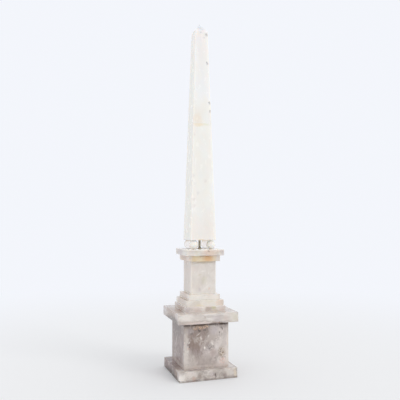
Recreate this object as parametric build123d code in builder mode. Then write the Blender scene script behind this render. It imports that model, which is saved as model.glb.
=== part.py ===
from build123d import *
import os

# Table obelisk of rock crystal: a pedestal of square blocks, four ball feet round a metal rod, and
# a tapering shaft.
# Millimetres, +Z up. The origin is the middle of the face that rests on the table, and the
# blocks' faces look along X and Y.

# ---- Driving dimensions ----------------------------------------------------------------

# Every cut edge is broken by a small polished chamfer.
block_arris = 0.7
shaft_arris = 0.8

# Pedestal, from the table up: the side of each square block, and how thick or tall it is.
plinth_side = 125.0
plinth_thickness = 20.7
lower_die_side = 96.6
lower_die_height = 93.7
lower_cap_side = 128.8
lower_cap_thickness = 20.2
lower_step_side = 87.9
lower_step_thickness = 10.8
middle_step_side = 81.5
middle_step_thickness = 12.3
upper_step_side = 69.2
upper_step_thickness = 11.5
upper_die_side = 55.4
upper_die_height = 69.3
neck_side = 69.7
neck_thickness = 12.3
abacus_side = 83.5
abacus_thickness = 13.1

# Ball feet: each ball has a small flat ground on its top and its bottom, where it is cemented.
ball_diameter = 19.4
ball_flat_depth = 0.3
ball_inset = 9.0  # from the shaft's side at its foot to the middle of a ball

# Metal rod in the middle of the balls, from the abacus to the underside of the shaft.
rod_diameter = 5.0

# Shaft: a tall taper in two lengths, closed by a low pyramid.
shaft_foot_side = 56.7
shaft_shoulder_side = 28.9
lower_shaft_length = 252.3
upper_shaft_length = 206.5
tip_height = 19.3

# Cement between the two lengths of the shaft, raked back a little from its sides.
seam_thickness = 0.5
seam_recess = 0.2

os.makedirs("parts", exist_ok=True)

# ---- Pedestal --------------------------------------------------------------------------

pedestal = [
    ("plinth_slab", plinth_side, plinth_thickness),
    ("lower_die", lower_die_side, lower_die_height),
    ("lower_cap_slab", lower_cap_side, lower_cap_thickness),
    ("base_step_lower", lower_step_side, lower_step_thickness),
    ("base_step_middle", middle_step_side, middle_step_thickness),
    ("base_step_upper", upper_step_side, upper_step_thickness),
    ("upper_die", upper_die_side, upper_die_height),
    ("neck_slab", neck_side, neck_thickness),
    ("abacus_slab", abacus_side, abacus_thickness),
]

# Each block stands on the one before it.
block_foot = 0.0
for node, side, height in pedestal:
    with BuildPart() as block:
        with BuildSketch(Plane.XY.offset(block_foot)):
            Rectangle(side, side)
        extrude(amount=height)
        chamfer(block.edges(), block_arris)
    block.part.label = node
    export_step(block.part, f"parts/{node}.step")
    block_foot += height

# ---- Ball feet -------------------------------------------------------------------------

ball_radius = ball_diameter / 2
ball_seat = block_foot
ball_centre = ball_seat + ball_radius - ball_flat_depth
shaft_foot = ball_centre + ball_radius - ball_flat_depth
ball_offset = shaft_foot_side / 2 - ball_inset

for depth_name, y in (("front", -ball_offset), ("back", ball_offset)):
    for side_name, x in (("left", -ball_offset), ("right", ball_offset)):
        node = f"ball_foot_{depth_name}_{side_name}"
        with BuildPart() as ball:
            with Locations((x, y, ball_centre)):
                Sphere(ball_radius)
            split(bisect_by=Plane.XY.offset(ball_seat), keep=Keep.TOP)
            split(bisect_by=Plane.XY.offset(shaft_foot), keep=Keep.BOTTOM)
        ball.part.label = node
        export_step(ball.part, f"parts/{node}.step")

# ---- Rod between the balls -------------------------------------------------------------

with BuildPart() as centre_rod:
    with BuildSketch(Plane.XY.offset(ball_seat)):
        Circle(rod_diameter / 2)
    extrude(amount=shaft_foot - ball_seat)
centre_rod.part.label = "centre_rod"
export_step(centre_rod.part, "parts/centre_rod.step")

# ---- Shaft -----------------------------------------------------------------------------

seam_foot = shaft_foot + lower_shaft_length
upper_shaft_foot = seam_foot + seam_thickness
shaft_shoulder = upper_shaft_foot + upper_shaft_length
apex = shaft_shoulder + tip_height


def shaft_side(height):
    """Side of the shaft's square section at a height: its four faces are flat and lean in."""
    risen = (height - shaft_foot) / (shaft_shoulder - shaft_foot)
    return shaft_foot_side + (shaft_shoulder_side - shaft_foot_side) * risen


def shaft_section(height):
    """Square section of the shaft with its corners cut off by the long arrises."""
    with BuildSketch(Plane.XY.offset(height)) as section:
        Rectangle(shaft_side(height), shaft_side(height))
        chamfer(section.vertices(), shaft_arris)
    return section.sketch


with BuildPart() as shaft_lower:
    add(shaft_section(shaft_foot))
    add(shaft_section(seam_foot))
    loft()
    chamfer(shaft_lower.faces().sort_by(Axis.Z)[0].edges(), block_arris)
shaft_lower.part.label = "shaft_lower"
export_step(shaft_lower.part, "parts/shaft_lower.step")

seam_side = shaft_side(upper_shaft_foot) - 2 * seam_recess
with BuildPart() as shaft_seam:
    with BuildSketch(Plane.XY.offset(seam_foot)):
        Rectangle(seam_side, seam_side)
    extrude(amount=seam_thickness)
shaft_seam.part.label = "shaft_seam"
export_step(shaft_seam.part, "parts/shaft_seam.step")

with BuildPart() as shaft_upper:
    add(shaft_section(upper_shaft_foot))
    add(shaft_section(shaft_shoulder))
    loft()
    loft([shaft_upper.faces().sort_by(Axis.Z)[-1], Vertex(0, 0, apex)])
shaft_upper.part.label = "shaft_upper"
export_step(shaft_upper.part, "parts/shaft_upper.step")
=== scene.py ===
import math
import random

import bmesh
import bpy
from mathutils import Matrix, Vector, noise


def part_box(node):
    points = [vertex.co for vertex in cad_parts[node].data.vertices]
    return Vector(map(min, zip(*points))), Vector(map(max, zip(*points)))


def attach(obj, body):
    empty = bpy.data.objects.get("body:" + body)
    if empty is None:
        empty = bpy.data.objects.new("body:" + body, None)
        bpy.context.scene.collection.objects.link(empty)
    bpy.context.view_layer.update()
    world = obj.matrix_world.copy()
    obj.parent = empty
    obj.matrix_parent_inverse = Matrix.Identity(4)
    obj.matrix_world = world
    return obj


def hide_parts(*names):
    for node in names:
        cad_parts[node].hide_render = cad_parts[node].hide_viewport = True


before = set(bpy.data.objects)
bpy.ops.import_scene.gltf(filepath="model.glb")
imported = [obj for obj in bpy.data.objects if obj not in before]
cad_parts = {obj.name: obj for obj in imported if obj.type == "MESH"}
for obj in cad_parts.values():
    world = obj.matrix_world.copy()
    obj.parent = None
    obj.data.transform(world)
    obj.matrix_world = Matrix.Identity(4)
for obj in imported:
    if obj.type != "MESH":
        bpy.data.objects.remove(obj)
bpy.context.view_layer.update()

# Table obelisk of polished rock crystal. Metres, in the frame of the CAD model. Sizes whose names
# end in _mm are millimetres, and the textures work in millimetres too. Colours of three numbers are
# 0 to 255 on a screen.

MM = 0.001

BALLS = (
    "ball_foot_front_left", "ball_foot_front_right", "ball_foot_back_left", "ball_foot_back_right",
)

QUARTZ_IOR = 1.544
# Light goes into the stone and spreads, red a little further than blue.
QUARTZ_DEPTH = {"IOR": QUARTZ_IOR, "Subsurface Weight": 1.0, "Subsurface Radius": (1.0, 0.9, 0.8)}


def linear(colour, share=1.0):
    """A colour given as 0 to 255 on a screen, or a share of it, as the light that shaders use."""
    return (*(((c / 255 + 0.055) / 1.055) ** 2.4 * share for c in colour), 1.0)


def lift(height):
    """The way straight up by that much."""
    return Vector((0, 0, height))


def half_side(node):
    """Half the width of a node. Every node here is as deep as it is wide."""
    low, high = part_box(node)
    return (high.x - low.x) / 2


def ends_mm(node):
    """The heights of a node's bottom and top."""
    low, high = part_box(node)
    return low.z / MM, high.z / MM


# ---- Shader helper ----

class Shader:
    """Adds nodes to one material, or to the world, and hands back their output sockets."""

    def __init__(self, owner):
        self.owner = owner
        owner.use_nodes = True
        self.nodes = owner.node_tree.nodes
        self.links = owner.node_tree.links
        self.nodes.clear()

    def add(self, kind, inputs=None, **settings):
        node = self.nodes.new("ShaderNode" + kind)
        for key, value in settings.items():
            setattr(node, key, value)
        for key, value in (inputs or {}).items():
            self.feed(node.inputs[key], value)
        return node

    def feed(self, socket, value):
        if isinstance(value, bpy.types.NodeSocket):
            self.links.new(value, socket)
        else:
            socket.default_value = value

    def place_mm(self):
        """The point in the object's frame, in millimetres."""
        return self.vector("SCALE", self.add("TexCoord").outputs["Object"], scale=1000)

    def axes(self, place):
        """The parts of a point along X, Y and Z."""
        return self.add("SeparateXYZ", {0: place}).outputs

    def vector(self, operation, a, b=None, scale=None):
        node = self.add("VectorMath", {0: a}, operation=operation)
        if b is not None:
            self.feed(node.inputs[1], b)
        if scale is not None:
            self.feed(node.inputs["Scale"], scale)
        return node.outputs["Value" if operation == "LENGTH" else "Vector"]

    def maths(self, operation, a, b=0.0):
        return self.add("Math", {0: a, 1: b}, operation=operation).outputs[0]

    def times(self, a, b):
        return self.maths("MULTIPLY", a, b)

    def plus(self, a, b):
        return self.maths("ADD", a, b)

    def away_from(self, middle, value):
        """How far a value is from the middle, either way."""
        return self.maths("ABSOLUTE", self.maths("SUBTRACT", value, middle))

    def noise(self, place, size_mm, detail=3.0, rough=0.55):
        """Cloudy value from 0 to 1 whose blobs are about size_mm across."""
        inputs = {"Vector": place, "Scale": 1 / size_mm, "Detail": detail, "Roughness": rough}
        return self.add("TexNoise", inputs).outputs["Fac"]

    def wander(self, place, size_mm, reach_mm):
        """The place moved by up to about reach_mm, in a way that changes over size_mm."""
        inputs = {"Vector": place, "Scale": 1 / size_mm, "Detail": 2.0}
        colour = self.add("TexNoise", inputs).outputs["Color"]
        centred = self.vector("SUBTRACT", colour, (0.5, 0.5, 0.5))
        return self.vector("ADD", place, self.vector("SCALE", centred, scale=2 * reach_mm))

    def step(self, value, start, end):
        """0 at start, 1 at end, smooth between; start may be the larger."""
        rising = start < end
        inputs = {
            "Value": value,
            "From Min": min(start, end), "From Max": max(start, end),
            "To Min": 0.0 if rising else 1.0, "To Max": 1.0 if rising else 0.0,
        }
        return self.add("MapRange", inputs, interpolation_type="SMOOTHSTEP").outputs["Result"]

    def blend(self, factor, a, b):
        """Colour a where the factor is 0, and b where it is 1. Each is a socket, a colour given as
        0 to 255, or what linear() returns."""
        a, b = (linear(c) if isinstance(c, tuple) and len(c) == 3 else c for c in (a, b))
        # A Mix node keeps its colour inputs at 6 and 7, and its colour output at 2.
        return self.add("Mix", {0: factor, 6: a, 7: b}, data_type="RGBA").outputs[2]

    def bump(self, height, strength, depth_mm):
        """The normal of a surface that the height makes uneven."""
        inputs = {"Height": height, "Strength": strength, "Distance": depth_mm * MM}
        return self.add("Bump", inputs).outputs["Normal"]

    def finish(self, surface):
        self.add("OutputMaterial", {"Surface": surface})
        return self.owner

    def finish_principled(self, colour, rough, normal, others):
        inputs = {"Base Color": colour, "Roughness": rough, "Normal": normal, **others}
        return self.finish(self.add("BsdfPrincipled", inputs).outputs[0])


# ---- Colours and marks ----

WHITE = (243, 238, 233)
MILK = (228, 221, 215)
CREAM = (226, 214, 194)
HONEY = (226, 208, 166)
AMBER = (226, 182, 130)
PEACH = (230, 202, 184)
PINK = (220, 204, 197)
LILAC = (208, 199, 201)
GREEN = (204, 202, 168)
CLAY = (180, 160, 148)
# Rust, and also the colour of painted shadow under the abacus.
RUST_AND_SHADE = (150, 104, 78)
BROWN = (150, 132, 121)
MAUVE = (142, 122, 120)
SMOKE = (112, 103, 98)
# Soot, and also the colour of painted shadow near the table and under the cap.
SOOT_AND_SHADE = (66, 52, 45)

# Each face of a stone: the way that u runs along it, and the way that it faces.
FACES = {
    "front": (Vector((1, 0, 0)), Vector((0, -1, 0))),
    "right": (Vector((0, 1, 0)), Vector((1, 0, 0))),
    "back": (Vector((-1, 0, 0)), Vector((0, 1, 0))),
    "left": (Vector((0, -1, 0)), Vector((-1, 0, 0))),
}
OUT_OF_SIGHT = ("right", "back")


def spot(node, face, u, w, size_mm, colour, strength, tall=1.0, lean=0, grain_mm=0.0):
    """A cloud, stain or fleck in a stone, or a patch of painted shade or painted light, for
    crystal().
    u runs from left to right for someone who looks at the face, and w runs up. tall is its height
    over its width, and lean turns it clockwise by that many degrees. grain_mm breaks it up into
    flecks of that size."""
    low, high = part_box(node)
    across, facing = FACES[face]
    half = half_side(node)
    corner = (facing - across) * half
    centre = corner + across * 2 * half * u + lift(low.z + w * (high.z - low.z))
    size = Vector((size_mm, size_mm, size_mm * tall))
    return centre / MM, size, colour, strength, facing, lean, grain_mm


def spots(node, **faces):
    """Several spots. Each face is given rows of what spot() takes from u on, in the same order."""
    return [spot(node, face, *row) for face, rows in faces.items() for row in rows]


def scatter(node, count, colours, smallest_mm, largest_mm, dice, faces=OUT_OF_SIGHT):
    """More of the same kinds of clouds and flecks, for the faces that have few or none."""
    return [
        spot(node, dice.choice(faces), dice.uniform(0.06, 0.94), dice.uniform(0.08, 0.92),
             smallest_mm + (largest_mm - smallest_mm) * dice.random() ** 2, dice.choice(colours),
             dice.uniform(0.5, 0.8), dice.uniform(0.6, 2.0), dice.randint(-40, 40))
        for _ in range(count)
    ]


def lay_mark(shader, colour, place, mark):
    """Lays one spot over a colour."""
    centre, size, paint, strength, facing, lean, grain_mm = mark
    offset = shader.vector("SUBTRACT", place, tuple(centre))
    if lean:
        offset = shader.add(
            "VectorRotate", {"Vector": offset, "Axis": tuple(facing), "Angle": math.radians(lean)},
        ).outputs["Vector"]
    reach = shader.vector("LENGTH", shader.vector("DIVIDE", offset, tuple(size)))
    # Whole out to 0.35 of its size, and gone at 1.15.
    inside = shader.times(shader.step(reach, 1.15, 0.35), strength)
    if grain_mm:
        inside = shader.times(inside, shader.step(shader.noise(place, grain_mm, 2.0), 0.46, 0.56))
    return shader.blend(inside, colour, paint)


def level_band(shader, colour, place, layer):
    """Colour that follows a level line, for painted shade, painted light and dirt: its height, how
    far it reaches up and down, its colour and its strength."""
    height_mm, reach_mm, paint, strength = layer
    away = shader.away_from(height_mm, shader.axes(place)["Z"])
    patchy = shader.step(shader.noise(place, 9.0, 3.0), 0.36, 0.58)
    thick = shader.plus(shader.times(patchy, 0.5), 0.5)
    amount = shader.times(shader.step(away, reach_mm, 0.55 * reach_mm), thick)
    return shader.blend(shader.times(amount, strength), colour, paint)


def leaked_light(shader, colour, place, half_at):
    """Light that shows in the side faces of the shaft: a little all over, and a pinkish band along
    their arrises. half_at is half the shaft's side at the height 0, and what each millimetre takes
    off it."""
    at_zero, per_mm = half_at
    axes = shader.axes(place)
    half = shader.maths("SUBTRACT", at_zero, shader.times(axes["Z"], per_mm))
    from_side = shader.maths("SUBTRACT", half, shader.maths("ABSOLUTE", axes["X"]))
    from_front = shader.maths("SUBTRACT", half, shader.maths("ABSOLUTE", axes["Y"]))
    on_side = shader.step(from_side, 1.4, 0.5)
    colour = shader.blend(shader.times(on_side, 0.6), colour, (255, 245, 237))
    band = shader.times(on_side, shader.step(from_front, 6.5, 3.0))
    return shader.blend(shader.times(band, 0.5), colour, (252, 236, 229))


# ---- Crystal ----

def clouded(shader, tones, bent, fine, cloud_mm, contrast):
    """The stone's own colour, in clouds of three sizes."""
    dark, middle, light = tones
    broad = shader.noise(bent, cloud_mm * 2.6, 2.0)
    clouds = shader.noise(bent, cloud_mm, 4.0, 0.62)
    spread = 0.16 / contrast
    colour = shader.blend(shader.step(clouds, 0.5 - spread, 0.5 + spread), dark, middle)
    colour = shader.blend(shader.step(broad, 0.44, 0.66), colour, light)
    brighter = shader.times(shader.step(fine, 0.52, 0.74), 0.5 * contrast)
    return shader.blend(brighter, colour, light)


def gritty(shader, colour, dark, moved, grain, amount):
    """Small dark and light inclusions, thicker in some places than in others."""
    thick = shader.times(shader.step(shader.noise(moved, 17.0, 1.0), 0.36, 0.62), amount)
    grains = shader.noise(shader.wander(grain, 4.0, 1.6), 3.1, 3.0, 0.6)
    darker = shader.times(shader.step(grains, 0.44, 0.3), thick)
    paler = shader.times(shader.step(grains, 0.56, 0.7), thick)
    return shader.blend(paler, shader.blend(darker, colour, linear(dark, 0.55)), WHITE)


def striped(shader, colour, dark, moved, amount):
    """Thin level stripes."""
    flat = shader.vector("MULTIPLY", shader.wander(moved, 30.0, 1.5), (0.05, 0.05, 1.0))
    stripe = shader.step(shader.noise(flat, 2.6, 2.0), 0.5, 0.68)
    return shader.blend(shader.times(stripe, amount), colour, dark)


def veiled(shader, colour, moved, bent, cloud_mm, amount):
    """Thin curved sheets of tiny bubbles, which show as pale wisps where they reach a face."""
    sheet = shader.away_from(0.5, shader.noise(bent, cloud_mm * 2.0))
    here = shader.step(shader.noise(moved, 22.0, 1.0), 0.46, 0.62)
    wisp = shader.times(shader.step(sheet, 0.055, 0.0), here)
    return shader.blend(shader.times(wisp, amount), colour, WHITE)


def healed_cracks(shader, moved, bent, cloud_mm):
    """1 on narrow lines between cells, only in places."""
    inputs = {"Vector": bent, "Scale": 1 / (cloud_mm * 1.5)}
    cells = shader.add("TexVoronoi", inputs, feature="DISTANCE_TO_EDGE")
    patchy = shader.step(shader.noise(moved, 19.0, 1.0), 0.5, 0.64)
    return shader.times(shader.step(cells.outputs["Distance"], 0.030, 0.0), patchy)


def glow_scale(shader, place, glow_mm, joints_mm):
    """How far light spreads in the stone; less far close to a joint, where the stone is ground."""
    height = shader.axes(place)["Z"]
    away = None
    for joint_mm in joints_mm:
        distance = shader.away_from(joint_mm, height)
        away = distance if away is None else shader.maths("MINIMUM", away, distance)
    share = shader.step(away, 0.0, 3.0 * glow_mm)
    return shader.times(shader.plus(shader.times(share, 0.9), 0.1), glow_mm * MM)


def crystal(name, tones, marks, layers, joints_mm, *, seed, cloud_mm, veil, crack, upright=1.0,
            contrast=1.0, grit=0.0, stripes=0.0, glow_mm=4.0, rough=0.16, relief=0.5,
            half_at=None):
    """Polished cloudy quartz. tones are its dark, middle and light colours, marks are spots, some
    of them painted shade and painted light, layers are level bands of painted shade, painted light
    and dirt, and joints_mm are the heights at which it meets another stone.
    upright draws its clouds out upwards. veil, crack, grit and stripes say how strong each is, and
    relief how deep the bumps are. half_at is for leaked_light()."""
    shader = Shader(bpy.data.materials.new(name))
    dark = tones[0]
    place = shader.place_mm()
    # Each seed takes another part of the pattern.
    moved = shader.vector("ADD", place, (37.0 * seed, 61.0 * seed, -23.0 * seed))
    grain = shader.vector("MULTIPLY", moved, (1.0, 1.0, 1.0 / upright))
    bent = shader.wander(grain, cloud_mm * 1.6, cloud_mm * 0.55)
    fine = shader.noise(bent, cloud_mm * 0.3, 4.0, 0.65)

    colour = clouded(shader, tones, bent, fine, cloud_mm, contrast)
    if grit:
        colour = gritty(shader, colour, dark, moved, grain, grit)
    if stripes:
        colour = striped(shader, colour, dark, moved, stripes)

    # The stone's own clouds and stains, and patches of painted shade and painted light, with ragged
    # outlines.
    ragged = shader.wander(shader.wander(place, 9.0, 4.2), 2.4, 1.3)
    for mark in marks:
        colour = lay_mark(shader, colour, ragged, mark)

    colour = veiled(shader, colour, moved, bent, cloud_mm, veil)
    line = healed_cracks(shader, moved, bent, cloud_mm)
    colour = shader.blend(shader.times(line, crack), colour, linear(dark, 0.5))
    # Level bands of painted shade, painted light and dirt.
    for layer in layers:
        colour = level_band(shader, colour, place, layer)
    if half_at:
        colour = leaked_light(shader, colour, place, half_at)

    # Polish: slightly wavy, with fine grooves at the cracks, and duller in the clouds.
    dull = shader.times(shader.step(fine, 0.3, 0.8), 0.14)
    height = shader.plus(shader.noise(moved, 24.0, 1.0), shader.times(line, -0.25))
    height = shader.plus(height, shader.times(fine, 0.12))
    glow = glow_scale(shader, place, glow_mm, joints_mm)
    return shader.finish_principled(
        colour, shader.plus(dull, rough), shader.bump(height, relief, 0.22),
        {**QUARTZ_DEPTH, "Subsurface Scale": glow})


def fresh_break(name, dark, light):
    """The dull, pale, rippled surface inside a chip, with painted shadow and dirt where it is close
    to the table.
    """
    shader = Shader(bpy.data.materials.new(name))
    place = shader.place_mm()
    ripple = shader.noise(place, 1.2, 4.0, 0.7)
    colour = shader.blend(shader.step(ripple, 0.35, 0.65), dark, light)
    # Painted shadow and dirt: darker low down, near the table.
    low_down = shader.step(shader.axes(place)["Z"], 9.0, 4.0)
    colour = shader.blend(shader.times(low_down, 0.85), colour, SOOT_AND_SHADE)
    return shader.finish_principled(
        colour, 0.5, shader.bump(ripple, 0.7, 0.25), {"IOR": QUARTZ_IOR})


def pale_ball(name, clear):
    """Very pale crystal with faint pinkish clouds. clear is 0 for milky and 1 for clear stone."""
    shader = Shader(bpy.data.materials.new(name))
    place = shader.place_mm()
    bent = shader.wander(place, 9.0, 4.0)
    cloudy = shader.step(shader.noise(bent, 7.0, 2.0), 0.36, 0.66)
    colour = shader.blend(cloudy, (252, 243, 236), (254, 251, 247))
    sheet = shader.away_from(0.5, shader.noise(bent, 9.0, 2.0))
    veil = shader.times(shader.step(sheet, 0.04, 0.0), 0.35)
    colour = shader.blend(veil, colour, PINK)
    rough = shader.plus(shader.times(shader.noise(bent, 3.0), 0.1), 0.06)
    return shader.finish_principled(
        colour, rough, shader.bump(shader.noise(place, 4.0, 1.0), 0.3, 0.1),
        {**QUARTZ_DEPTH, "Subsurface Scale": 8 * MM, "Transmission Weight": clear})


# ---- Cement and metal ----

def cement(name, dark, light, dirt=0.5):
    """Lumpy old cement, with brown dirt in patches."""
    shader = Shader(bpy.data.materials.new(name))
    place = shader.place_mm()
    lumps = shader.noise(place, 2.0, 4.0, 0.6)
    dirty = shader.step(shader.noise(place, 11.0, 2.0), 0.5, 0.68)
    colour = shader.blend(shader.step(lumps, 0.35, 0.65), dark, light)
    colour = shader.blend(shader.times(dirty, dirt), colour, (120, 104, 84))
    rough = shader.plus(shader.times(lumps, 0.3), 0.3)
    return shader.finish_principled(colour, rough, shader.bump(lumps, 0.5, 0.1), {})


def aged_metal():
    """Dull brass for the rod, cloudy with tarnish and marked round by the lathe."""
    shader = Shader(bpy.data.materials.new("aged_brass"))
    place = shader.place_mm()
    tarnish = shader.noise(shader.wander(place, 3.0, 1.0), 2.2, 4.0, 0.6)
    turned = shader.noise(shader.vector("MULTIPLY", place, (0.2, 0.2, 6.0)), 2.0, 2.0)
    colour = shader.blend(shader.step(tarnish, 0.4, 0.64), (168, 161, 140), (204, 197, 175))
    rough = shader.plus(shader.times(tarnish, 0.3), 0.35)
    normal = shader.bump(shader.plus(tarnish, turned), 0.4, 0.06)
    return shader.finish_principled(colour, rough, normal, {"Metallic": 0.3})


# ---- Cut stones ----

CHIP_TRIES = 400
CHIP_SUNK_MM = 0.4
BLOCK_CHIP_MM, SHAFT_CHIP_MM = 2.0, 1.5  # the largest of the small chips
BLOCK_ROUNDING_MM, SHAFT_ROUNDING_MM = 0.18, 0.15
PIT_MM = (1.2, 0.8, 0.5)  # half length, half width and depth
BALL_UNEVENNESS = 0.006


def new_object(name, mesh, material):
    """Turns a bmesh into an object in the scene."""
    data = bpy.data.meshes.new(name)
    mesh.to_mesh(data)
    mesh.free()
    data.materials.append(material)
    thing = bpy.data.objects.new(name, data)
    bpy.context.scene.collection.objects.link(thing)
    return thing


def stand_in(piece, node):
    """Lets a visible piece take the place of its CAD node."""
    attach(piece, "root")
    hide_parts(node)


def random_shift(dice, reach):
    return Vector([dice.uniform(-reach, reach) for _ in range(3)])


def polished(node, rounding_mm):
    """The CAD node's mesh with each flat face one polygon, and every edge rounded a little."""
    mesh = bmesh.new()
    mesh.from_mesh(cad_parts[node].data)
    bmesh.ops.remove_doubles(mesh, verts=mesh.verts, dist=1e-6)
    bmesh.ops.dissolve_limit(
        mesh, angle_limit=math.radians(0.3), verts=mesh.verts, edges=mesh.edges)
    bmesh.ops.bevel(mesh, geom=mesh.edges[:], offset=rounding_mm * MM, segments=2, profile=0.6,
                    affect="EDGES", clamp_overlap=True)
    return mesh


def chip(cutters, centre, outward, size_mm, dice, along=None):
    """Adds one shell-shaped cutter that bites into the stone at centre. size_mm is its half
    length, half width and depth."""
    if along is None:
        along = Matrix.Rotation(dice.uniform(0, math.tau), 3, outward) @ outward.orthogonal()
    along = (along - outward * along.dot(outward)).normalized()
    side = outward.cross(along)
    long, wide, deep = (value * MM for value in size_mm)
    made = bmesh.ops.create_icosphere(cutters, subdivisions=3, radius=1.0)
    shift = random_shift(dice, 50)
    for vertex in made["verts"]:
        unit = vertex.co.normalized()
        swell = 1 + 0.16 * noise.noise(unit * 1.7 + shift)
        vertex.co = centre + (along * unit.x * long + side * unit.y * wide
                              + outward * unit.z * deep) * swell


def small_chip(dice, largest_mm):
    """Half length, half width and depth of one small chip; most are near the smallest."""
    smallest_mm = 0.6
    length = smallest_mm + (largest_mm - smallest_mm) * dice.random() ** 3
    return length * dice.uniform(1.0, 1.6), length * dice.uniform(0.7, 1.0), 0.25 + 0.35 * length


def arrises(node):
    """The long edges of a square stone: a point at each end, and the way that faces out."""
    low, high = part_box(node)
    corners = [(low.x, low.y), (high.x, low.y), (high.x, high.y), (low.x, high.y)]
    found = []
    for index, (x, y) in enumerate(corners):
        out = Vector((math.copysign(1, x), math.copysign(1, y), 0)).normalized()
        found.append((Vector((x, y, low.z)), Vector((x, y, high.z)), out))
        next_x, next_y = corners[(index + 1) % 4]
        sideways = Vector(((x + next_x) / 2, (y + next_y) / 2, 0)).normalized()
        for z, up in ((low.z, -1.0), (high.z, 1.0)):
            out = (sideways + lift(up)).normalized()
            found.append((Vector((x, y, z)), Vector((next_x, next_y, z)), out))
    return found


def stone(node, material, broken, mesh, cuts):
    """Makes the visible stone from its mesh, with the cutters taken out of it."""
    piece = new_object(f"{node}_stone", mesh, material)
    cutter = new_object(f"{node}_cuts", cuts, broken)
    boolean = piece.modifiers.new("chips", "BOOLEAN")
    boolean.operation = "DIFFERENCE"
    boolean.solver = "EXACT"
    boolean.use_self = True
    boolean.material_mode = "TRANSFER"
    boolean.object = cutter
    graph = bpy.context.evaluated_depsgraph_get()
    cut = bpy.data.meshes.new_from_object(piece.evaluated_get(graph))
    piece.modifiers.clear()
    piece.data = cut
    bpy.data.objects.remove(cutter)
    # Smooth inside the chips, flat elsewhere, and sharp where the two meet.
    finished = bmesh.new()
    finished.from_mesh(piece.data)
    for face in finished.faces:
        face.smooth = face.material_index > 0
    for edge in finished.edges:
        edge.smooth = len({face.material_index for face in edge.link_faces}) == 1
    finished.to_mesh(piece.data)
    finished.free()
    stand_in(piece, node)


def scattered_chips(cutters, count, place, largest_mm, dice, taken):
    """Adds count small chips, clear of those in taken; place() gives a point on an arris and the
    way that it faces."""
    tries = 0
    while count and tries < CHIP_TRIES:
        tries += 1
        centre, outward = place()
        size_mm = small_chip(dice, largest_mm)
        if all((centre - other).length > 2 * (size_mm[0] + reach) * MM for other, reach in taken):
            # The arris is chamfered, so a chip starts a little inside the corner.
            chip(cutters, centre - outward * CHIP_SUNK_MM * MM, outward, size_mm, dice)
            taken.append((centre, size_mm[0]))
            count -= 1


def chipped_block(node, material, broken, count, dice, large):
    """A square block with small chips along its arrises, and the large ones asked for."""
    cutters = bmesh.new()
    taken = []
    for centre, outward, size_mm, along in large:
        chip(cutters, centre, outward, size_mm, dice, along)
        taken.append((centre, size_mm[0]))
    edges = arrises(node)

    def place():
        start, end, outward = dice.choice(edges)
        return start.lerp(end, dice.uniform(0.03, 0.97)), outward

    scattered_chips(cutters, count, place, BLOCK_CHIP_MM, dice, taken)
    stone(node, material, broken, polished(node, BLOCK_ROUNDING_MM), cutters)


def shaft_half(z):
    """Half the side of the shaft at a height, from the CAD boxes of its two lengths."""
    foot, joint = half_side("shaft_lower"), half_side("shaft_upper")
    foot_z, joint_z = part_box("shaft_lower")[0].z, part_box("shaft_upper")[0].z
    return foot + (joint - foot) * ((z - foot_z) / (joint_z - foot_z))


def chipped_shaft(node, material, broken, count, top, dice):
    """A length of the shaft, with small chips up its four arrises as far as top, and pits in its
    front face."""
    low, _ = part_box(node)
    clear_of_ends = 4 * MM
    cutters = bmesh.new()
    taken = []
    for x_mm, z_mm in on_length(node, EDGE_PITS_MM):
        x, z = x_mm * MM, z_mm * MM
        centre = Vector((x, -shaft_half(z), z))
        chip(cutters, centre, Vector((0, -1, 0)), PIT_MM, dice)
        taken.append((centre, PIT_MM[0]))

    def place():
        z = dice.uniform(low.z + clear_of_ends, top - clear_of_ends)
        outward = Vector(dice.choice(((-1, -1, 0), (1, -1, 0), (1, 1, 0), (-1, 1, 0))))
        return outward * shaft_half(z) + lift(z), outward.normalized()

    scattered_chips(cutters, count, place, SHAFT_CHIP_MM, dice, taken)
    stone(node, material, broken, polished(node, SHAFT_ROUNDING_MM), cutters)


def ball(node, material, dice):
    """A ball ground by hand: not quite round, with a small flat at its top and bottom."""
    low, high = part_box(node)
    centre = (low + high) / 2
    mesh = bmesh.new()
    bmesh.ops.create_uvsphere(mesh, u_segments=96, v_segments=64, radius=half_side(node))
    shift = random_shift(dice, 9)
    for vertex in mesh.verts:
        unit = vertex.co.normalized()
        vertex.co *= 1 - BALL_UNEVENNESS * (0.5 + 0.5 * noise.noise(unit * 1.4 + shift))
        vertex.co += centre
        vertex.co.z = min(max(vertex.co.z, low.z), high.z)
    for face in mesh.faces:
        face.smooth = True
    stand_in(new_object(f"{node}_stone", mesh, material), node)


# ---- Cement in the joints ----

ARRIS = 0.7 * MM  # the chamfer of the blocks
ROOT_MM = 0.4  # how far cement reaches into a joint
ROUND_STEPS = 48


def add_piece(name, mesh, material):
    """Adds a piece that the CAD model hasn't, smooth apart from its sharp edges."""
    bmesh.ops.recalc_face_normals(mesh, faces=mesh.faces)
    for face in mesh.faces:
        face.smooth = True
    for edge in mesh.edges:
        edge.smooth = edge.calc_face_angle() < math.radians(40)
    piece = new_object(name, mesh, material)
    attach(piece, "root")


def closed_loop(mesh, rings):
    """Skins a closed run of equal rings of points."""
    loops = [[mesh.verts.new(point) for point in ring] for ring in rings]
    for loop, following in zip(loops, loops[1:] + loops[:1]):
        for index in range(len(loop)):
            after = (index + 1) % len(loop)
            mesh.faces.new((loop[index], loop[after], following[after], following[index]))


def square_path(half, pace_mm=1.4):
    """Points round a square of half side half, each with the way out from it."""
    steps = max(8, int(2 * half / (pace_mm * MM)))
    points = []
    for x, y, dx, dy in ((-1, -1, 1, 0), (1, -1, 0, 1), (1, 1, -1, 0), (-1, 1, 0, -1)):
        for index in range(steps):
            t = 2 * index / steps
            out = Vector((dy, -dx, 0)) if index else Vector((x, y, 0))
            points.append((Vector((x + dx * t, y + dy * t, 0)) * half, out))
    return points


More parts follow.
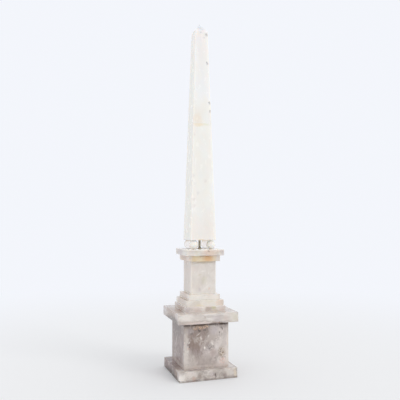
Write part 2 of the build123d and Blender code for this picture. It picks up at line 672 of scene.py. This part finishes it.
def round_path():
    """The ways out from an upright axis, all round it."""
    angles = [math.tau * index / ROUND_STEPS for index in range(ROUND_STEPS)]
    return [Vector((math.cos(angle), math.sin(angle), 0.0)) for angle in angles]


def waver(point, size_mm, seed):
    """0 to 1, changing smoothly over about size_mm."""
    return 0.5 + 0.5 * noise.noise(point / (size_mm * MM) + Vector((seed, 0, 0)))


def joint_cement(name, joints, material):
    """Old cement, which fills the arris under or over each joint and stands a hair proud."""
    mesh = bmesh.new()
    for below, above in joints:
        (_, top), (_, over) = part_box(below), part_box(above)
        up = 1.0 if over.x < top.x else -1.0
        rings = []
        for point, out in square_path(min(top.x, over.x) - ARRIS):
            base = point + lift(top.z)
            full = waver(base, 5.0, top.z * 900)
            reach, rise = ARRIS * (0.35 + 0.6 * full), ARRIS * (0.35 + 0.55 * full)
            rings.append([
                base - out * ROOT_MM * MM,
                base + out * reach,
                base + out * reach * 0.8 + lift(up * rise * 0.6),
                base + out * rise * 0.9 + lift(up * rise),
                base - out * ROOT_MM * MM + lift(up * rise),
            ])
        closed_loop(mesh, rings)
    add_piece(name, mesh, material)


def shaft_joint(material):
    """The cement between the two lengths of the shaft, nearly flush with their faces."""
    mesh = bmesh.new()
    low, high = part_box("shaft_seam")
    overlap = 0.12 * MM
    lower, upper = lift(low.z - overlap), lift(high.z + overlap)
    rings = []
    for point, out in square_path(shaft_half(low.z), 0.9):
        lack = 0.03 * MM + 0.1 * MM * waver(point, 4.0, 7.0)
        inner = point - out * ROOT_MM * MM
        outer = point - out * lack
        rings.append([inner + lower, outer + lower, outer + upper, inner + upper])
    closed_loop(mesh, rings)
    add_piece("shaft_joint_cement", mesh, material)


def ball_cement(material):
    """The ring of cement at the top and the bottom of each ball."""
    mesh = bmesh.new()
    for node in BALLS:
        low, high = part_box(node)
        centre = (low + high) / 2
        radius = half_side(node)
        rise = (high.z - low.z) / 2
        flat = math.sqrt(radius ** 2 - rise ** 2)
        for z, up in ((low.z, 1.0), (high.z, -1.0)):
            foot = Vector((centre.x, centre.y, z))
            rings = []
            for out in round_path():
                reach = flat + (0.7 + 1.1 * waver(foot + out * flat, 3.0, up * 5)) * MM
                fill = rise - math.sqrt(radius ** 2 - reach ** 2)
                rings.append([
                    foot + out * flat * 0.9,
                    foot + out * (reach + 0.25 * MM),
                    foot + out * reach + lift(up * fill),
                    foot + out * flat * 0.9 + lift(up * 0.05 * MM),
                ])
            closed_loop(mesh, rings)
    add_piece("ball_cement", mesh, material)


def rod_cement(material):
    """The dark mound of cement round the foot of the rod."""
    low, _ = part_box("centre_rod")
    foot = lift(low.z)
    radius = half_side("centre_rod")
    mesh = bmesh.new()
    rings = []
    for out in round_path():
        wide = radius + (1.6 + 1.6 * waver(out * radius, 3.0, 3.0)) * MM
        tall = (2.2 + 1.6 * waver(out * radius, 2.5, 9.0)) * MM
        rings.append([
            foot + out * radius * 0.8,
            foot + out * wide,
            foot + out * (radius + (wide - radius) * 0.55) + lift(tall * 0.3),
            foot + out * (radius + (wide - radius) * 0.2) + lift(tall * 0.7),
            foot + out * radius * 0.98 + lift(tall),
            foot + out * radius * 0.8 + lift(tall * 0.9),
        ])
    closed_loop(mesh, rings)
    add_piece("rod_foot_cement", mesh, material)


# ---- Stage, light and camera ----

BACKGROUND = (0.90, 0.92, 0.97, 1.0)
FLOOR = (0.88, 0.89, 0.91, 1.0)
FLOOR_RADIUS = 6.0
FADE_FROM, FADE_TO = 0.25, 1.5  # where the floor passes into the background
SKY_STRENGTH = 0.89
KEY_STRENGTH = 0.45
KEY_COLOUR = (1.0, 0.985, 0.96)


def backdrop_rays(shader):
    """1 for the rays that show the backdrop: seen, mirrored or through glass. 0 for light."""
    path = shader.add("LightPath").outputs
    shown = shader.maths("MAXIMUM", path["Is Camera Ray"], path["Is Glossy Ray"])
    return shader.maths("MAXIMUM", shown, path["Is Transmission Ray"])


def add_floor():
    """A pale floor that keeps the object's shadow and fades into the background far away."""
    bpy.ops.mesh.primitive_circle_add(vertices=96, radius=FLOOR_RADIUS, fill_type="NGON")
    floor = bpy.context.object
    floor.name = "studio_floor"
    shader = Shader(bpy.data.materials.new("pale_floor"))
    near = shader.add("BsdfDiffuse", {"Color": FLOOR})
    far = shader.add("Emission", {"Color": BACKGROUND, "Strength": 1.0})
    distance = shader.vector("LENGTH", shader.add("TexCoord").outputs["Object"])
    fade = shader.times(shader.step(distance, FADE_FROM, FADE_TO), backdrop_rays(shader))
    mix = shader.add("MixShader", {0: fade, 1: near.outputs[0], 2: far.outputs[0]})
    floor.data.materials.append(shader.finish(mix.outputs[0]))


def add_world():
    """Even light from all round, and the background that is seen instead of it."""
    world = bpy.data.worlds.new("studio")
    bpy.context.scene.world = world
    shader = Shader(world)
    light = shader.add("Background", {"Color": (1.0, 1.0, 1.0, 1.0), "Strength": SKY_STRENGTH})
    shown = shader.add("Background", {"Color": BACKGROUND, "Strength": 1.0})
    mix = shader.add(
        "MixShader", {0: backdrop_rays(shader), 1: light.outputs[0], 2: shown.outputs[0]})
    shader.add("OutputWorld", {"Surface": mix.outputs[0]})


def add_key_light():
    """A weak, soft sun from the right of the front."""
    lamp = bpy.data.lights.new("key", "SUN")
    lamp.energy = KEY_STRENGTH
    lamp.angle = math.radians(25)
    lamp.color = KEY_COLOUR
    key = bpy.data.objects.new("key", lamp)
    bpy.context.scene.collection.objects.link(key)
    key.rotation_euler = (math.radians(55), 0.0, math.radians(40))


def add_camera():
    """Looks at the front and a little of the left, from just below the middle."""
    azimuth = math.radians(-18.09)
    distance = 1.0696
    height = 0.3171
    aside = 0.0011
    rise = math.radians(2.825)
    data = bpy.data.cameras.new("camera")
    data.sensor_width = 36.0
    data.lens = 44.02
    camera = bpy.data.objects.new("camera", data)
    bpy.context.scene.collection.objects.link(camera)
    right = Vector((math.cos(azimuth), math.sin(azimuth), 0.0))
    back = Vector((math.sin(azimuth), -math.cos(azimuth), 0.0))
    camera.location = back * distance + right * aside + lift(height)
    camera.rotation_euler = (math.radians(90) + rise, 0.0, azimuth)
    bpy.context.scene.camera = camera


# ---- The blocks, from the table up ----

# The rows in spots() hold u, w, size_mm, colour, strength, tall, lean and grain_mm.

def plinth_material(node, dice):
    marks = scatter(node, 12, (MILK, LILAC, BROWN, CREAM), 3, 14, dice)
    # The left face is painted darker: painted shade all over, most at its far end, and a band of
    # painted shade along its bottom edge.
    marks += spots(node, left=(
        (0.45, 0.3, 70, (142, 118, 113), 0.9, 0.5),
        (0.55, 0.4, 40, SMOKE, 0.36, 0.4),
        (0.05, 0.4, 44, (126, 102, 97), 0.9, 0.6),
        (0.8, 0.4, 16, BROWN, 0.7),
        (0.62, 0.3, 9, SMOKE, 0.85),
        (0.5, 0.0, 80, SOOT_AND_SHADE, 0.8, 0.15),
    ), front=(
        (0.08, 0.1, 18, MILK, 0.3, 0.5),
        (0.03, 0.4, 12, WHITE, 0.85),
        (0.2, 0.75, 15, MILK, 0.7, 0.5),
        (0.24, 0.3, 6, PEACH, 0.45),
        (0.36, 0.5, 8, BROWN, 0.4),
        (0.56, 0.5, 8, LILAC, 0.55, 0.8),
        (0.58, 0.4, 8, BROWN, 0.65, 1.0, 0, 2.2),
        (0.61, 0.42, 1.5, SOOT_AND_SHADE, 0.85, 3.4, -6),
        # Painted shadow in the joint under the die.
        (0.5, 0.98, 2.6, SMOKE, 0.6, 0.5),
        (0.78, 0.4, 5, MAUVE, 0.4),
        (0.87, 0.65, 14, MILK, 0.65, 0.8),
        (0.96, 0.5, 4, CREAM, 0.75, 3.0),
    ))
    # Painted shade: darker along the plinth's foot.
    layers = [(0.0, 5.0, (112, 98, 92), 0.45)]
    return crystal(
        "plinth_crystal", ((170, 160, 154), (197, 188, 182), (224, 217, 211)), marks, layers,
        ends_mm(node), cloud_mm=10, veil=0.35, crack=0.35, grit=0.4, contrast=1.2, seed=1)


def die_material(node, dice):
    colours = (BROWN, MAUVE, SMOKE, MILK, LILAC, PEACH)
    marks = scatter(node, 34, colours, 2, 10, dice)
    marks += scatter(node, 9, (MAUVE, LILAC, SMOKE), 2, 8, dice, ("left",))
    marks += spots(node, back=(
        (0.4, 0.9, 16, RUST_AND_SHADE, 0.7, 0.5),
        (0.4, 0.88, 16, PEACH, 0.8, 0.4, 0, 2.4),
    # The first three spots on the left face are painted shade: the face darker, most at its top
    # under the cap.
    ), left=(
        (0.5, 0.5, 76, (136, 115, 111), 0.78),
        (0.4, 1.0, 60, SMOKE, 0.5, 0.6),
        (0.3, 0.78, 50, (124, 107, 104), 0.65, 0.6),
        (0.94, 0.5, 14, (138, 122, 119), 0.55, 3.4),
        (0.84, 0.22, 4, MAUVE, 0.6, 4.0, 8),
        (0.7, 0.14, 4, MAUVE, 0.5, 2.2, -10),
        (0.92, 0.35, 3, PINK, 0.45, 4.0),
    ), front=(
        # Broad light and dark parts.
        (0.95, 0.46, 30, (220, 212, 207), 0.78, 1.5),
        (0.3, 0.06, 46, (190, 178, 172), 0.6, 0.6),
        (0.22, 0.78, 44, BROWN, 0.42, 0.8),
        (0.08, 0.16, 20, (214, 206, 200), 0.6, 1.3),
        (0.9, 0.1, 20, (222, 211, 205), 0.8, 0.9),
        (0.94, 0.27, 15, (228, 219, 213), 0.75, 1.2),
        (0.55, 0.2, 20, (190, 179, 173), 0.45, 0.7),
        (0.04, 0.45, 7, MILK, 0.75, 8.0),
        (0.12, 0.82, 8, LILAC, 0.4),
        # The rust under the cap, with its pale and dark flecks.
        (0.4, 0.99, 30, (128, 102, 84), 0.85, 0.24),
        (0.36, 0.9, 20, (150, 120, 98), 0.6, 0.4, 0, 3.0),
        (0.3, 0.89, 13, (236, 206, 178), 0.95, 0.42, 0, 1.9),
        (0.46, 0.9, 11, (236, 206, 178), 0.85, 0.4, 0, 1.9),
        (0.34, 0.83, 4.2, SMOKE, 0.9, 0.9),
        (0.45, 0.83, 2.8, SMOKE, 0.6),
        # The large dark cloud, and smaller clouds and flecks.
        (0.25, 0.58, 16, (156, 139, 129), 0.56, 1.25),
        (0.16, 0.77, 3, SMOKE, 0.55),
        (0.3, 0.75, 1.6, MILK, 0.65, 5.0, 62),
        (0.38, 0.65, 1.6, MILK, 0.65, 4.0),
        (0.08, 0.54, 3, MAUVE, 0.6),
        (0.11, 0.57, 1.8, WHITE, 0.75, 1.6),
        (0.09, 0.45, 5, PEACH, 0.8, 1.0, 0, 2.0),
        (0.46, 0.44, 3.0, WHITE, 0.95, 1.3, -20),
        (0.55, 0.69, 2.4, WHITE, 0.85, 1.4, 15),
        (0.6, 0.45, 9, (98, 88, 84), 0.85, 1.0, 0, 1.6),
        (0.64, 0.52, 2.2, WHITE, 0.75, 4.6, -38),
        (0.64, 0.33, 9, PINK, 0.45),
        (0.66, 0.31, 8, MAUVE, 0.25),
        (0.85, 0.34, 10, CREAM, 0.8, 1.5, 0, 2.4),
        (0.83, 0.32, 10, (136, 112, 96), 0.95, 1.6, 0, 1.7),
        (0.81, 0.37, 1.3, SMOKE, 0.85, 4.5),
        (0.87, 0.13, 8, (226, 196, 184), 0.8, 1.1, 0, 5.0),
        (0.96, 0.16, 6, MILK, 0.75),
        (0.97, 0.55, 2.5, MILK, 0.75, 14.0),
        (0.64, 0.7, 15, (206, 196, 190), 0.6, 1.4, 20),
        (0.66, 0.8, 10, LILAC, 0.5),
        # Painted shadow and dirt under the cap's right end.
        (0.86, 0.95, 8, SOOT_AND_SHADE, 0.75, 0.5),
        (0.86, 0.84, 2.0, SMOKE, 0.9, 4.0, 4),
        (0.8, 0.74, 2.4, SMOKE, 0.8, 2.4),
    ))
    foot, top = ends_mm(node)
    # Painted shade and dirt under the cap, and painted light at the foot against the shade at the
    # joint.
    layers = [(top, 8.8, (78, 62, 53), 0.85), (foot, 9.0, (218, 207, 200), 0.65)]
    return crystal(
        "die_crystal", ((162, 150, 144), (189, 177, 172), (217, 208, 204)), marks, layers,
        (foot, top), cloud_mm=6.5, veil=0.3, crack=0.5, grit=0.85, upright=1.4, contrast=1.2,
        glow_mm=2.5, seed=22)


def cap_material(node, dice):
    marks = scatter(node, 12, (MILK, PINK, LILAC, CLAY, WHITE), 4, 15, dice)
    # Most of the left face's spots are painted shade: darker in the middle, under the step at its
    # top, and along its bottom edge.
    marks += spots(node, left=(
        (0.55, 0.4, 56, CLAY, 0.8, 0.6),
        (0.6, 0.3, 22, BROWN, 0.45, 0.5),
        (0.05, 0.6, 26, (192, 184, 184), 0.8),
        (0.86, 0.7, 12, LILAC, 0.5),
        (0.45, 1.0, 40, CLAY, 0.3, 0.3),
        (0.6, 0.0, 64, SMOKE, 0.85, 0.22),
        (0.74, 0.1, 30, SMOKE, 0.5, 0.25),
    ), front=(
        (0.12, 0.72, 20, WHITE, 0.7, 0.5),
        (0.34, 0.65, 13, MILK, 0.55, 0.5),
        (0.43, 0.6, 1.2, CLAY, 0.6, 4.0),
        (0.3, 0.1, 44, PINK, 0.75, 0.09),
        (0.26, 0.3, 36, CLAY, 0.35, 0.040),
        # Painted shadow along the middle of the cap's bottom edge.
        (0.64, 0.02, 20, BROWN, 0.85, 0.2),
        (0.62, 0.5, 14, LILAC, 0.45, 0.7),
        (0.67, 0.12, 1.8, RUST_AND_SHADE, 0.8),
        (0.78, 0.5, 8, PINK, 0.45),
        # Painted light at the right end, where light comes through the thin slab.
        (0.93, 0.5, 16, (232, 227, 218), 0.65),
        (0.95, 0.5, 7, GREEN, 0.14),
    ))
    return crystal(
        "cap_crystal", ((198, 189, 183), (216, 208, 202), (234, 228, 222)), marks, (),
        ends_mm(node), cloud_mm=14, veil=0.3, crack=0.22, grit=0.25, upright=0.4, stripes=0.35,
        seed=3)


def lower_step_material(node, dice):
    marks = scatter(node, 9, (PINK, CLAY, GREEN, MILK), 3, 10, dice)
    # Painted shade along the bottom of the left face.
    marks.append(spot(node, "left", 0.5, 0.2, 30, CLAY, 0.5, 0.3))
    marks += spots(node, front=(
        (0.03, 0.6, 8, LILAC, 0.7),
        (0.15, 0.6, 1.6, SMOKE, 0.75, 0.8),
        (0.3, 0.4, 11, PINK, 0.55),
        (0.55, 0.6, 8, CLAY, 0.55),
        (0.68, 0.8, 6, GREEN, 0.8),
        (0.72, 0.2, 7, CREAM, 0.6),
        (0.9, 0.5, 9, PINK, 0.55),
    ))
    return crystal(
        "lower_step_crystal", ((215, 205, 200), (228, 220, 214), (238, 232, 227)), marks, (),
        ends_mm(node), cloud_mm=11, veil=0.3, crack=0.2, grit=0.15, seed=4)


def middle_step_material(node, dice):
    marks = scatter(node, 6, (CREAM, MILK, PINK), 4, 12, dice)
    # Painted shade: the left face darker.
    marks.append(spot(node, "left", 0.5, 0.5, 40, (205, 188, 178), 0.6))
    marks += spots(node, front=(
        (0.08, 0.6, 9, WHITE, 0.6),
        (0.32, 0.15, 13, HONEY, 0.35, 0.3),
        (0.62, 0.9, 12, GREEN, 0.22, 0.4),
        (0.88, 0.6, 12, PEACH, 0.35),
    ))
    # Painted light at the foot, against the shade at the joint.
    layers = [(ends_mm(node)[0], 2.5, WHITE, 0.5)]
    return crystal(
        "middle_step_crystal", ((216, 208, 198), (229, 222, 213), (239, 234, 227)), marks, layers,
        ends_mm(node), cloud_mm=14, veil=0.22, crack=0.12, seed=5)


def upper_step_material(node, dice):
    marks = scatter(node, 5, (WHITE, MILK, CREAM), 5, 12, dice, ("front", "right", "back"))
    # Painted shade: the left face darker.
    marks.append(spot(node, "left", 0.5, 0.5, 36, (206, 187, 176), 0.64))
    # Painted light at the foot, against the shade at the joint.
    layers = [(ends_mm(node)[0], 2.5, WHITE, 0.5)]
    return crystal(
        "upper_step_crystal", ((221, 214, 206), (233, 227, 221), (242, 237, 231)), marks, layers,
        ends_mm(node), cloud_mm=16, veil=0.22, crack=0.1, seed=6)


def upper_die_material(node, dice):
    foot, top = ends_mm(node)
    marks = scatter(node, 12, (MILK, PINK, LILAC, WHITE), 3, 12, dice)
    marks += spots(node, left=(
        # Painted shade: the left face darker.
        (0.45, 0.5, 46, (214, 203, 194), 0.7, 1.3),
        (0.9, 0.6, 5, PINK, 0.45, 5.0),
    ), front=(
        # Painted shadow under the neck.
        (0.5, 1.0, 30, (206, 194, 174), 0.6, 0.2),
        (0.12, 0.78, 7, PINK, 0.45),
        (0.46, 0.7, 2.2, WHITE, 0.7, 4.0, 74),
        (0.38, 0.6, 1.6, GREEN, 0.3, 9.0, 74),
        (0.52, 0.42, 8, GREEN, 0.26, 1.4),
        (0.34, 0.14, 4, LILAC, 0.6, 1.4, 40),
        (0.6, 0.2, 3.0, WHITE, 0.6, 4.5, 52),
        (0.74, 0.16, 3.4, PEACH, 0.55),
        (0.1, 0.08, 9, WHITE, 0.55, 0.8),
        (0.08, 0.5, 13, (244, 240, 235), 0.35, 3.4),
    ))
    # Painted light at the foot, against the shade at the joint.
    layers = [(foot, 3.5, (248, 244, 238), 0.7)]
    return crystal(
        "upper_die_crystal", ((221, 215, 209), (233, 228, 223), (243, 239, 234)), marks, layers,
        (foot, top), cloud_mm=18, veil=0.28, crack=0.1, upright=1.6, glow_mm=5, seed=7)


def neck_material(node, dice):
    marks = scatter(node, 7, (AMBER, HONEY, MILK, CREAM), 7, 15, dice)
    marks += spots(node, front=(
        (0.5, 0.5, 30, HONEY, 0.45, 0.6),
        (0.61, 0.55, 13, AMBER, 0.68, 0.8),
        # Painted shadow and rust under the abacus.
        (0.56, 0.95, 22, RUST_AND_SHADE, 0.35, 0.1),
        (0.16, 0.4, 9, HONEY, 0.75),
        (0.99, 0.5, 11, MILK, 0.9, 1.5),
        (0.0, 0.5, 7, MILK, 0.8, 1.5),
    ))
    # Painted shade: the left face darker.
    marks.append(spot(node, "left", 0.5, 0.5, 40, (208, 186, 172), 0.8))
    return crystal(
        "neck_crystal", ((231, 218, 199), (240, 230, 216), (246, 240, 230)), marks, (),
        ends_mm(node), cloud_mm=13, veil=0.25, crack=0.12, seed=8)


def abacus_material(node, dice):
    marks = scatter(node, 9, (MILK, PEACH, CREAM, LILAC), 4, 13, dice)
    marks += spots(node, front=(
        (0.1, 0.5, 12, MILK, 0.6),
        (0.3, 0.4, 8, GREEN, 0.16),
        (0.62, 0.5, 22, PEACH, 0.5, 0.5),
        (0.57, 0.7, 3.4, CLAY, 0.8, 0.8, 30),
        (0.8, 0.4, 14, CREAM, 0.4, 0.2),
        (0.95, 0.5, 7, LILAC, 0.55),
    ))
    marks.append(spot(node, "left", 0.4, 0.6, 30, LILAC, 0.75, 0.4))
    # Painted light along the top, where the balls shade it.
    layers = [(ends_mm(node)[1], 2.6, (242, 237, 231), 0.8)]
    return crystal(
        "abacus_crystal", ((216, 209, 201), (229, 223, 215), (241, 236, 230)), marks, layers,
        ends_mm(node)[:1], cloud_mm=12, veil=0.28, crack=0.15, grit=0.15, stripes=0.2, seed=9)


# ---- The shaft ----

# Small dark flecks in the shaft: distance to the right of its axis, and height.
EDGE_PITS_MM = ((11.4, 733.6), (11.9, 669.2), (16.7, 581.3), (17.6, 562.5))
FAINT_FLECKS_MM = (
    (-19.4, 510.6), (-22.4, 421.8), (6.7, 409.7), (-11.6, 383.5), (-21.8, 370.5), (-21.9, 356.6))
SHAFT_TONES = ((247, 241, 235), (251, 245, 240), (254, 250, 246))
SHOULDER_MM = 742.0  # where the shaft's point begins


def on_length(node, flecks_mm):
    """The flecks that lie on one length of the shaft."""
    foot, top = ends_mm(node)
    return [(x_mm, z_mm) for x_mm, z_mm in flecks_mm if foot < z_mm < top]


def shaft_spot(x_mm, z_mm, size_mm, colour, strength, tall=1.0, side=-1):
    """A spot on the shaft's front face, or with side=1 on its back."""
    centre = Vector((x_mm, side * shaft_half(z_mm * MM) / MM, z_mm))
    size = Vector((size_mm, size_mm, size_mm * tall))
    return centre, size, colour, strength, Vector((0, side, 0)), 0, 0.0


def shaft_belt(z_mm, reach_mm, colour, strength):
    """A mark that goes right round the shaft, reach_mm up and down from a height."""
    past_arris_mm = 60
    size = Vector((past_arris_mm, past_arris_mm, reach_mm))
    return lift(z_mm), size, colour, strength, Vector((0, -1, 0)), 0, 0.0


def shaft_flaws(node):
    """The flecks of one length of the shaft, the same ones on its front and on its back."""
    marks = []
    for side in (-1, 1):
        for x_mm, z_mm in on_length(node, EDGE_PITS_MM):
            marks.append(shaft_spot(x_mm, z_mm, 3.6, WHITE, 0.7, 1.2, side))
            marks.append(shaft_spot(x_mm, z_mm, 3.0, (176, 174, 176), 0.75, 1.5, side))
        for x_mm, z_mm in on_length(node, FAINT_FLECKS_MM):
            marks.append(shaft_spot(x_mm, z_mm, 5.0, LILAC, 0.22, 1.0, side))
    return marks


def shaft_crystal(name, marks, joint_mm, seed):
    # The taper is even, so any two heights give what each millimetre takes off.
    per_mm = (shaft_half(0.3) - shaft_half(0.5)) / 0.2
    return crystal(
        name, SHAFT_TONES, marks, (), (joint_mm,), cloud_mm=26, veil=0.07, crack=0.04, upright=2.2,
        contrast=0.2, glow_mm=6, rough=0.18, relief=0.05,
        half_at=(shaft_half(0.0) / MM, per_mm), seed=seed)


def lower_shaft_material(node):
    foot, joint = ends_mm(node)
    marks = [shaft_belt(foot, 110, (237, 232, 227), 0.55)] + shaft_flaws(node)
    marks += [shaft_spot(*row) for row in (
        (1.0, foot, 17, HONEY, 0.55, 0.11),
        (1.0, foot, 17, HONEY, 0.55, 0.11, 1),
        (-8.0, joint - 2.5, 14, (246, 230, 204), 0.7, 0.45),
        (9.0, joint - 2.0, 10, (240, 236, 214), 0.55, 0.25),
        (-4.0, joint - 2.0, 14, (246, 228, 200), 0.55, 0.25, 1),
    )]
    marks.append(spot(node, "left", 0.62, 0.99, 3.0, LILAC, 0.6))
    return shaft_crystal("lower_shaft_crystal", marks, joint, 11)


def upper_shaft_material(node):
    joint, apex = ends_mm(node)
    marks = [
        shaft_belt(apex, 150, (242, 241, 241), 0.7),
        shaft_belt(apex - 2, 19, (224, 228, 234), 0.95),
    ] + shaft_flaws(node)
    marks += [shaft_spot(*row) for row in (
        (-1.0, apex - 22.5, 3.0, (200, 200, 206), 0.55, 0.8),
        (5.5, apex - 36.0, 3.2, (200, 200, 206), 0.45, 0.7),
        (-10.5, joint + 9, 12, (248, 232, 217), 0.55, 1.3),
        (5.0, joint + 4, 12, (244, 228, 216), 0.5, 0.8, 1),
        (-6.0, joint + 36, 18, PEACH, 0.05, 1.8),
    )]
    return shaft_crystal("upper_shaft_crystal", marks, joint, 12)


# ---- Build ----

def plinth_bite(y_mm, turn_degrees, size_mm):
    """One of the bites that make the large chip in the lower edge of the plinth's left face."""
    low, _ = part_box("plinth_slab")
    turn = math.radians(turn_degrees)
    centre = Vector((low.x, y_mm * MM, low.z))
    along = Vector((0, math.cos(turn), math.sin(turn)))
    return centre, Vector((-1, 0, -0.4)).normalized(), size_mm, along


def paint_node(node, material):
    """Gives a material to a CAD node that is shown as it is."""
    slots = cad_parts[node].data.materials
    slots.clear()
    slots.append(material)


# The blocks from the table up, each with its material and its number of small chips.
BLOCKS = {
    "plinth_slab": (plinth_material, 26),
    "lower_die": (die_material, 22),
    "lower_cap_slab": (cap_material, 24),
    "base_step_lower": (lower_step_material, 12),
    "base_step_middle": (middle_step_material, 10),
    "base_step_upper": (upper_step_material, 8),
    "upper_die": (upper_die_material, 9),
    "neck_slab": (neck_material, 8),
    "abacus_slab": (abacus_material, 12),
}
LARGE_CHIPS = {"plinth_slab": (
    plinth_bite(2, 8, (11.0, 3.4, 3.4)),
    plinth_bite(-3, 62, (8.5, 3.2, 2.6)),
    plinth_bite(5, -35, (7.0, 3.0, 2.8)),
)}
# The lengths of the shaft, each with its material, its number of chips and how high those go.
SHAFT = {
    "shaft_lower": (lower_shaft_material, 6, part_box("shaft_lower")[1].z),
    "shaft_upper": (upper_shaft_material, 5, SHOULDER_MM * MM),
}

add_floor()
add_world()
add_key_light()
add_camera()

dice = random.Random(41)
broken = fresh_break("chipped_quartz", (186, 176, 168), (232, 226, 220))
for node, (make_material, chips) in BLOCKS.items():
    chipped_block(node, make_material(node, dice), broken, chips, dice, LARGE_CHIPS.get(node, ()))

# The front balls are milky. The back ones are clear and let the light behind them through.
milky = pale_ball("ball_crystal_milky", 0.0)
clearer = pale_ball("ball_crystal_clearer", 1.0)
for node in BALLS:
    ball(node, clearer if "back" in node else milky, dice)

pale_break = fresh_break("chipped_shaft", (214, 209, 205), (236, 232, 228))
for node, (make_material, chips, top) in SHAFT.items():
    chipped_shaft(node, make_material(node), pale_break, chips, top, dice)

paint_node("centre_rod", aged_metal())
seam_cement = cement("seam_cement", (238, 231, 218), (248, 243, 234), 0.08)
paint_node("shaft_seam", seam_cement)
shaft_joint(seam_cement)

foot_joint, cap_joint, *upper_joints = zip(BLOCKS, list(BLOCKS)[1:])
joint_cement("foot_joint_cement", [foot_joint], cement("foot_cement", PINK, MILK, 0.2))
# The cement under the cap is dark: dirt, and painted shade under the cap.
joint_cement("cap_joint_cement", [cap_joint], cement("shade_and_dirt_cement", SMOKE, BROWN))
clean_cement = cement("clean_cement", (243, 237, 231), (250, 246, 241), 0.0)
joint_cement("upper_joint_cement", upper_joints, clean_cement)
ball_cement(cement("ball_cement", (242, 233, 212), (250, 246, 236), 0.08))
rod_cement(cement("rod_cement", (150, 144, 126), (192, 186, 168), 0.3))

scene = bpy.context.scene
scene.view_settings.view_transform = "Standard"
